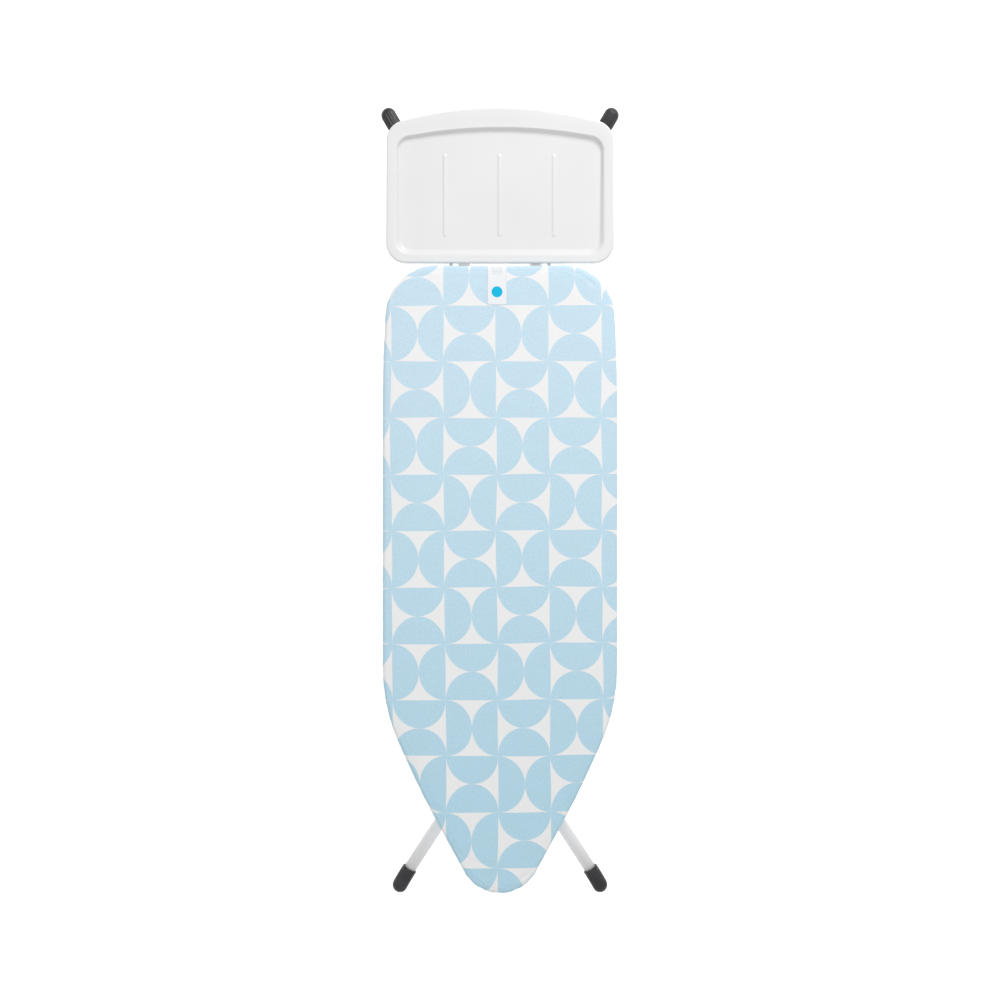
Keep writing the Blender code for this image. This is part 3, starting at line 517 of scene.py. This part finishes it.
def cover():
    """The cover and its made-up area: hem, side and roll in rings, then a top that closes on the spine."""
    bm = bmesh.new()
    flat = bm.verts.layers.float_vector.new("cloth_flat")
    pinned = bm.verts.layers.deform.new()
    count = len(OUTLINE)
    steps = [0.0]
    for i in range(1, count):
        steps.append(steps[-1] + (OUTLINE[i] - OUTLINE[i - 1]).length)
    tangents = [(OUTLINE[(i + 1) % count] - OUTLINE[i - 1]).normalized() for i in range(count)]
    bends = [min(1.0, tangents[i - 4].angle(tangents[(i + 4) % count]) / 0.7) for i in range(count)]
    profile = cover_profile()
    rings = []
    for k, (depth, z, past) in enumerate(profile):
        points = inset(OUTLINE, hem_depth if depth is None else depth)
        along = smoothstep((len(profile) - 1 - k) / 8)
        ring = []
        for i, p in enumerate(points):
            out = Vector((-tangents[i].y, tangents[i].x))
            pucker = gather(steps[i], along, bends[i])
            v = bm.verts.new((p.x + out.x * pucker, p.y + out.y * pucker, z + abs(pucker) * 0.3))
            there = OUTLINE[i] + out * (past - EDGE_ROLL)
            v[flat] = (there.x, there.y, 0.0)
            v[pinned][0] = 1.0
            ring.append(v)
        rings.append(ring)
    edge = inset(OUTLINE, profile[-1][0])
    for k in range(1, TOP_RINGS + 1):
        ring = []
        for i, p in enumerate(edge):
            far = spine(OUTLINE[i])
            there = p.lerp(far, (k / TOP_RINGS) ** 1.25)
            gone = (there - p).length
            crown = CROWN * smoothstep(gone / CROWN_REACH)
            ripple = bends[i] * math.sin(steps[i] * 150.0)
            radial = RADIAL_PUCKER * ripple * (1 - smoothstep(gone / RADIAL_REACH))
            v = bm.verts.new((there.x, there.y, profile[-1][1] + crown + radial))
            v[flat] = (there.x, there.y, 0.0)
            v[pinned][0] = 1.0 if k == 1 else 0.0
            ring.append(v)
        rings.append(ring)
    for a, b in zip(rings, rings[1:]):
        for i in range(count):
            j = (i + 1) % count
            bm.faces.new((a[i], a[j], b[j], b[i]))
    obj = add("ironing_cover", bm, "cloth", "board", "cover")
    obj.vertex_groups.new(name="held")
    area = sum(f.area for f in obj.data.polygons)
    settle(obj, "held", CLOTH_RISE)
    modifier(obj, "SOLIDIFY", thickness=CLOTH_THICKNESS, offset=-1.0)
    return obj, area


def settle(obj, held, most):
    """Blows the cloth up a little over its pad, and keeps each point within a set distance."""
    rest = [v.co.copy() for v in obj.data.vertices]
    cloth = modifier(obj, "CLOTH")
    cloth.settings.quality = 4
    cloth.settings.mass = 0.15
    cloth.settings.vertex_group_mass = held
    cloth.settings.use_pressure = True
    cloth.settings.uniform_pressure_force = 1.2
    cloth.settings.shrink_min = -0.004
    cloth.settings.effector_weights.gravity = 0.0
    for number in range(1, 19):
        bpy.context.scene.frame_set(number)
    shaped = obj.evaluated_get(bpy.context.evaluated_depsgraph_get()).to_mesh()
    moved = [v.co.copy() for v in shaped.vertices]
    obj.modifiers.remove(cloth)
    for v, old, new in zip(obj.data.vertices, rest, moved):
        shift = new - old
        v.co = old + (shift * (most / shift.length) if shift.length > most else shift)
    bpy.context.scene.frame_set(1)


def pad():
    """Foam that follows the cover's roll from inside."""
    low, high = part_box("pad")
    bm = bmesh.new()
    centre = ROLL_TOP - EDGE_ROLL
    reach, rise = EDGE_ROLL - 0.0018, min(high.z - 0.0002 - centre, EDGE_ROLL - 0.0012)
    first, profile = math.asin((low.z + 0.001 - centre) / rise), []
    for k in range(7):
        angle = first + (math.pi / 2 - first) * k / 6
        profile.append((PAD_INSET + reach * (1 - math.cos(angle)), centre + rise * math.sin(angle)))
    profile.insert(0, (profile[0][0] + 0.001, low.z))
    rings = [at(inset(OUTLINE, depth), z) for depth, z in profile]
    top, bottom = rings[-1], rings[0]
    for k in range(1, 13):
        rings.append([p.lerp(Vector((*spine(p), high.z)), k / 12) for p in top])
        rings.insert(0, [p.lerp(Vector((*spine(p), low.z)), k / 12) for p in bottom])
    loft(bm, rings)
    obj = add("foam_pad", bm, "foam", "board", "pad")


def hem_roll():
    """The rolled casing of the hem, gathered by its elastic."""
    line = inset(OUTLINE, lambda p: hem_depth(p) + 0.0016)
    bm = bmesh.new()
    flat = bm.verts.layers.float_vector.new("cloth_flat")
    rings, count = [], len(line)
    for i, p in enumerate(line):
        tangent = (line[(i + 1) % count] - line[i - 1]).normalized()
        side = Vector((tangent.y, -tangent.x, 0.0))
        radius = CASING_RADIUS + 0.0003 * math.sin(i * 2.1)
        ring = []
        for k in range(8):
            angle = 2 * math.pi * k / 8
            lift = Vector((0, 0, math.sin(angle) * radius * 0.8))
            ring.append(Vector((p.x, p.y, HEM_Z + 0.0006)) + side * math.cos(angle) * radius + lift)
        rings.append(ring)
    for ring in loft(bm, rings, loop=True):
        for v in ring:
            v[flat] = (v.co.x * 1.1, v.co.y * 1.1, 0.0)
    return add("hem_casing", bm, "cloth", "board", "hem_elastic")


def label(on):
    """A ribbon sewn on the cover and turned down over its wide end."""
    low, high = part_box("size_label")
    top = COVER_TOP + 0.0005
    edge = OUTLINE[0].y + 0.0007
    path = [(low.y + (edge - 0.009 - low.y) * k / 16, top) for k in range(17)]
    for k in range(1, 7):
        angle = math.pi / 2 * k / 6
        turn_y, turn_z = LABEL_ROLL * math.sin(angle), LABEL_ROLL * math.cos(angle)
        path.append((edge - LABEL_ROLL + turn_y, top - LABEL_ROLL + turn_z))
    path.append((edge, HEM_Z + 0.006))
    mesh = on.data
    surface = BVHTree.FromPolygons([v.co for v in mesh.vertices], [tuple(f.vertices) for f in mesh.polygons])
    bm = bmesh.new()
    columns = 9
    rows = []
    for i, (y, z) in enumerate(path):
        (y0, z0), (y1, z1) = path[max(0, i - 1)], path[min(len(path) - 1, i + 1)]
        out = Vector((0.0, z0 - z1, y1 - y0)).normalized()
        row = []
        for k in range(columns):
            across = k / (columns - 1)
            p = Vector((low.x + 0.0005 + (high.x - low.x + 0.002) * across, y, z))
            hit = surface.ray_cast(p + out * 0.01, -out, 0.02)[0]
            curl = 0.0002 + 0.00015 * math.sin(y * 160.0 + across * 3.0)
            row.append(bm.verts.new((hit or p) + out * curl))
        rows.append(row)
    for a, b in zip(rows, rows[1:]):
        for k in range(columns - 1):
            bm.faces.new((a[k], a[k + 1], b[k + 1], b[k]))
    obj = add("care_label", bm, "label_satin", "board", "size_label")
    modifier(obj, "SOLIDIFY", thickness=0.00035, offset=1.0)
    modifier(obj, "SUBSURF", levels=1, render_levels=1)


# Frame.


def deck():
    """Expanded metal: diamond holes in a lattice, with a solid border on the rim."""
    low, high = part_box("deck_mesh")
    border_out, border_in = inset(OUTLINE, 0.010), inset(OUTLINE, 0.027)
    limit = inset(OUTLINE, 0.016)
    half_x, half_y, strand = 0.014, 0.0072, 0.0026
    bm = bmesh.new()
    lattice = {}

    def corner(i, j):
        if (i, j) not in lattice:
            lattice[i, j] = bm.verts.new((i * half_x, j * half_y, low.z))
        return lattice[i, j]

    def inside(x, y):
        """The outline is convex and clockwise, so a point inside is right of every edge."""
        for k in range(0, len(limit), 2):
            a, b = limit[k - 2], limit[k]
            if (b.x - a.x) * (y - a.y) - (b.y - a.y) * (x - a.x) > 0:
                return False
        return True

    for i in range(-17, 18):
        for j in range(-112, 67):
            tips = ((i - 1, j), (i, j - 1), (i + 1, j), (i, j + 1))
            if (i + j) % 2 == 0 and all(inside(a * half_x, b * half_y) for a, b in tips):
                bm.faces.new([corner(a, b) for a, b in tips])
    cells = list(bm.faces)
    bmesh.ops.inset_individual(bm, faces=cells, thickness=strand / 2, depth=0.0)
    bmesh.ops.delete(bm, geom=cells, context="FACES")
    for v in bm.verts:
        v.co.z = low.z + 0.0001
    outer = [bm.verts.new(p) for p in at(border_out, low.z)]
    inner = [bm.verts.new(p) for p in at(border_in, low.z)]
    for k in range(len(outer)):
        j = (k + 1) % len(outer)
        bm.faces.new((outer[k], outer[j], inner[j], inner[k]))
    obj = add("expanded_deck", bm, "white_paint", "board", "deck_mesh")
    modifier(obj, "SOLIDIFY", thickness=high.z - low.z, offset=0.0)
    obj.location.z = (high.z - low.z) / 2


def swept(bm, points, radius, sides, place=Matrix(), ends="ab", loop=False):
    """A tube along points that lie in the XY plane of place."""
    rings, count = [], len(points)
    for i, p in enumerate(points):
        after = points[(i + 1) % count] if loop else points[min(i + 1, count - 1)]
        before = points[i - 1] if loop or i else points[0]
        tangent = (after - before).normalized()
        side = Vector((tangent.y, -tangent.x, 0.0))
        ring = []
        for k in range(sides):
            angle = 2 * math.pi * k / sides
            out = side * math.cos(angle) + Vector((0, 0, math.sin(angle)))
            ring.append(place @ (p.to_3d() + out * radius))
        rings.append(ring)
    loft(bm, rings, "" if loop else ends, loop)


def rim():
    """The tube that runs round the deck's edge."""
    low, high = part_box("board_rim")
    bm = bmesh.new()
    place = Matrix.Translation((0, 0, (low.z + high.z) / 2))
    swept(bm, inset(OUTLINE, 0.012), (high.z - low.z) / 2, 16, place, loop=True)
    add("rim_tube", bm, "white_paint", "board", "board_rim")


def leg_frame(name):
    """The plane of a leg pair, with its origin on the top pivot."""
    pivot, turn = (HINGE, -FOLD_ANGLE) if name == "outer" else (SLIDE, FOLD_ANGLE)
    return Matrix.Translation(pivot) @ Matrix.Rotation(turn, 4, "X")


def leg_path(x, foot_x):
    """Centre line: straight, one bend, then splayed out to the foot."""
    bend_at = LEG_LENGTH - (foot_x - x) / math.tan(SPLAY) - BEND_RADIUS * math.tan(SPLAY / 2)
    points = [Vector((x, -TUBE_TAIL)), Vector((x, 0.3)), Vector((x, 0.6))]
    for k in range(25):
        angle = SPLAY * k / 24
        outwards, onwards = BEND_RADIUS * (1 - math.cos(angle)), BEND_RADIUS * math.sin(angle)
        points.append(Vector((x + outwards, bend_at + onwards)))
    points.append(Vector((foot_x, LEG_LENGTH)) - Vector((math.sin(SPLAY), math.cos(SPLAY))) * 0.015)
    return points


def foot_cap(bm, place, inward):
    """Ribbed rubber boot: flutes along its body, a rolled mouth and a round nose that leans in."""
    sides = BOOT_FLUTES * 8
    stations = [(-0.037, 0.0129), (-0.0402, 0.0129), (-0.0405, 0.0140), (-0.0402, 0.0152)]
    stations += [(z, CAP_RADIUS) for z in (-0.0385, -0.036, -0.033, -0.028, -0.020, -0.010, -0.003)]
    for k in range(10):
        angle = math.radians(9 * k)
        stations.append((CAP_RADIUS * math.sin(angle), CAP_RADIUS * math.cos(angle)))
    rings = []
    for height, radius in stations:
        fade = smoothstep((height + 0.036) / 0.006) * (1 - smoothstep((height - 0.002) / 0.011))
        lean = BOOT_LEAN * smoothstep((height + 0.030) / 0.045)
        ring = []
        for k in range(sides):
            angle = 2 * math.pi * k / sides
            groove = (0.5 + 0.5 * math.cos(angle * BOOT_FLUTES)) ** 4
            r = radius - FLUTE_DEPTH * groove * fade
            ring.append(place @ Vector((r * math.cos(angle), r * math.sin(angle), height)) + inward * lean)
        rings.append(ring)
    loft(bm, rings, "b")


def legs():
    """Four tubes and four boots, each drawn on the right and mirrored for the left."""
    for name, (x, foot_x, heading) in LEGS.items():
        frame_of = leg_frame(name)
        for side, sign in (("left", -1), ("right", 1)):
            flip = Matrix.Diagonal((sign, heading, 1.0, 1.0))
            bm = bmesh.new()
            swept(bm, leg_path(x, foot_x), LEG_RADIUS, 32, frame_of @ flip)
            tube = add(f"{name}_tube_{side}", bm, "white_paint", f"{name}_legs", f"{name}_leg_{side}")
            # Painted light: the brighter copy of the coat goes on the tubes.
            tube.data.materials[0] = LIT_TUBE_PAINT
            direction = Vector((sign * math.sin(SPLAY), heading * math.cos(SPLAY), 0.0))
            turn = direction.to_track_quat("Z", "Y").to_matrix().to_4x4()
            place = frame_of @ Matrix.Translation((sign * foot_x, heading * LEG_LENGTH, 0.0)) @ turn
            bm = bmesh.new()
            foot_cap(bm, place, Vector((-sign * math.cos(SPLAY), heading * math.sin(SPLAY), 0.0)))
            cap_node = f"{name}_foot_cap_{side}"
            cap = add(f"{name}_boot_{side}", bm, "charcoal_plastic", f"{name}_legs", cap_node)
            modifier(cap, "SUBSURF", levels=1, render_levels=1)


# Steam tray.


def slope_run(p):
    """The slope is steepest at the far edge and gentlest at the near one."""
    return 0.80 + 0.65 * smoothstep((0.72 - p.y) / 0.20)


def tray():
    """Pressed sheet: skirt, rounded edge, flat rim, slope and floor."""
    low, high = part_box("steam_tray")
    top, skirt, floor = high.z, low.z, TRAY_FLOOR
    outer = [(0.0, skirt), (0.0, skirt + 0.004), (0.0, top - 0.0034), (0.0004, top - 0.0019)]
    outer += [(0.0013, top - 0.0008), (0.0027, top - 0.0002), (0.0045, top)]
    slope = [(-0.0022, top), (-0.0007, top - 0.0003), (0.0005, top - 0.0011), (0.0016, top - 0.0025)]
    slope += [(0.0038, top - 0.0058), (0.0048, floor + 0.0017), (0.0058, floor + 0.0007)]
    slope += [(0.0070, floor + 0.0001), (0.0088, floor)]
    rings = [at(inset(TRAY_OUTLINE, depth), z) for depth, z in outer]
    rings += [at(inset(WELL_OUTLINE, lambda p, d=depth: d * slope_run(p)), z) for depth, z in slope]
    bm = bmesh.new()
    loft(bm, rings, "b")
    obj = add("tray_pressing", bm, "white_paint", "tray", "steam_tray")
    modifier(obj, "SOLIDIFY", thickness=SHEET, offset=-1.0)
    for name, x in zip(("left", "middle", "right"), RIB_X):
        bm = bmesh.new()
        rib(bm, x, floor)
        add("tray_rib_" + name, bm, "white_paint", "tray")


def rib(bm, x, floor):
    """A pressed rib: a soft bump with rounded ends that runs out level with the floor."""
    half, rise, rows = RIB_HALF_WIDTH, RIB_RISE, []
    for i in range(61):
        along = -1 + 2 * i / 60
        reach = math.copysign(abs(along) ** 0.7, along) * RIB_HALF_LENGTH
        end = max(0.0, (abs(reach) - RIB_HALF_LENGTH + half) / half)
        row = []
        for k in range(15):
            across = -1 + 2 * k / 14
            away = min(1.0, math.hypot(across, end))
            height = rise * (1 - smoothstep((away - 0.2) / 0.8))
            row.append(bm.verts.new((x + across * half, RIB_Y + reach, floor + 0.00003 + height)))
        rows.append(row)
    for a, b in zip(rows, rows[1:]):
        for k in range(14):
            bm.faces.new((a[k], a[k + 1], b[k + 1], b[k]))
    bmesh.ops.solidify(bm, geom=bm.faces[:], thickness=0.0004)


# CAD nodes that keep their shape.


def finish_nodes():
    """Gives each CAD node still shown its finish, and rounds its hard edges."""
    slots = {row["node"]: row["material_slot"] for row in frame["record"]["subparts"]}
    for name, node in frame["nodes"].items():
        if node.hide_render:
            continue
        node.data.materials.clear()
        node.data.materials.append(MATS[slots[name]])
        modifier(node, "WELD", merge_threshold=0.00001)
        width = 0.0003 if slots[name] == "zinc" else 0.0006
        modifier(node, "BEVEL", width=width, segments=2, limit_method="ANGLE", angle_limit=math.radians(40))
        node.data.shade_smooth()
        modifier(node, "WEIGHTED_NORMAL", keep_sharp=False)


studio()
cloth_cover, cloth_area = cover()
pad()
roll = hem_roll()
label(cloth_cover)
deck()
rim()
legs()
tray()
finish_nodes()
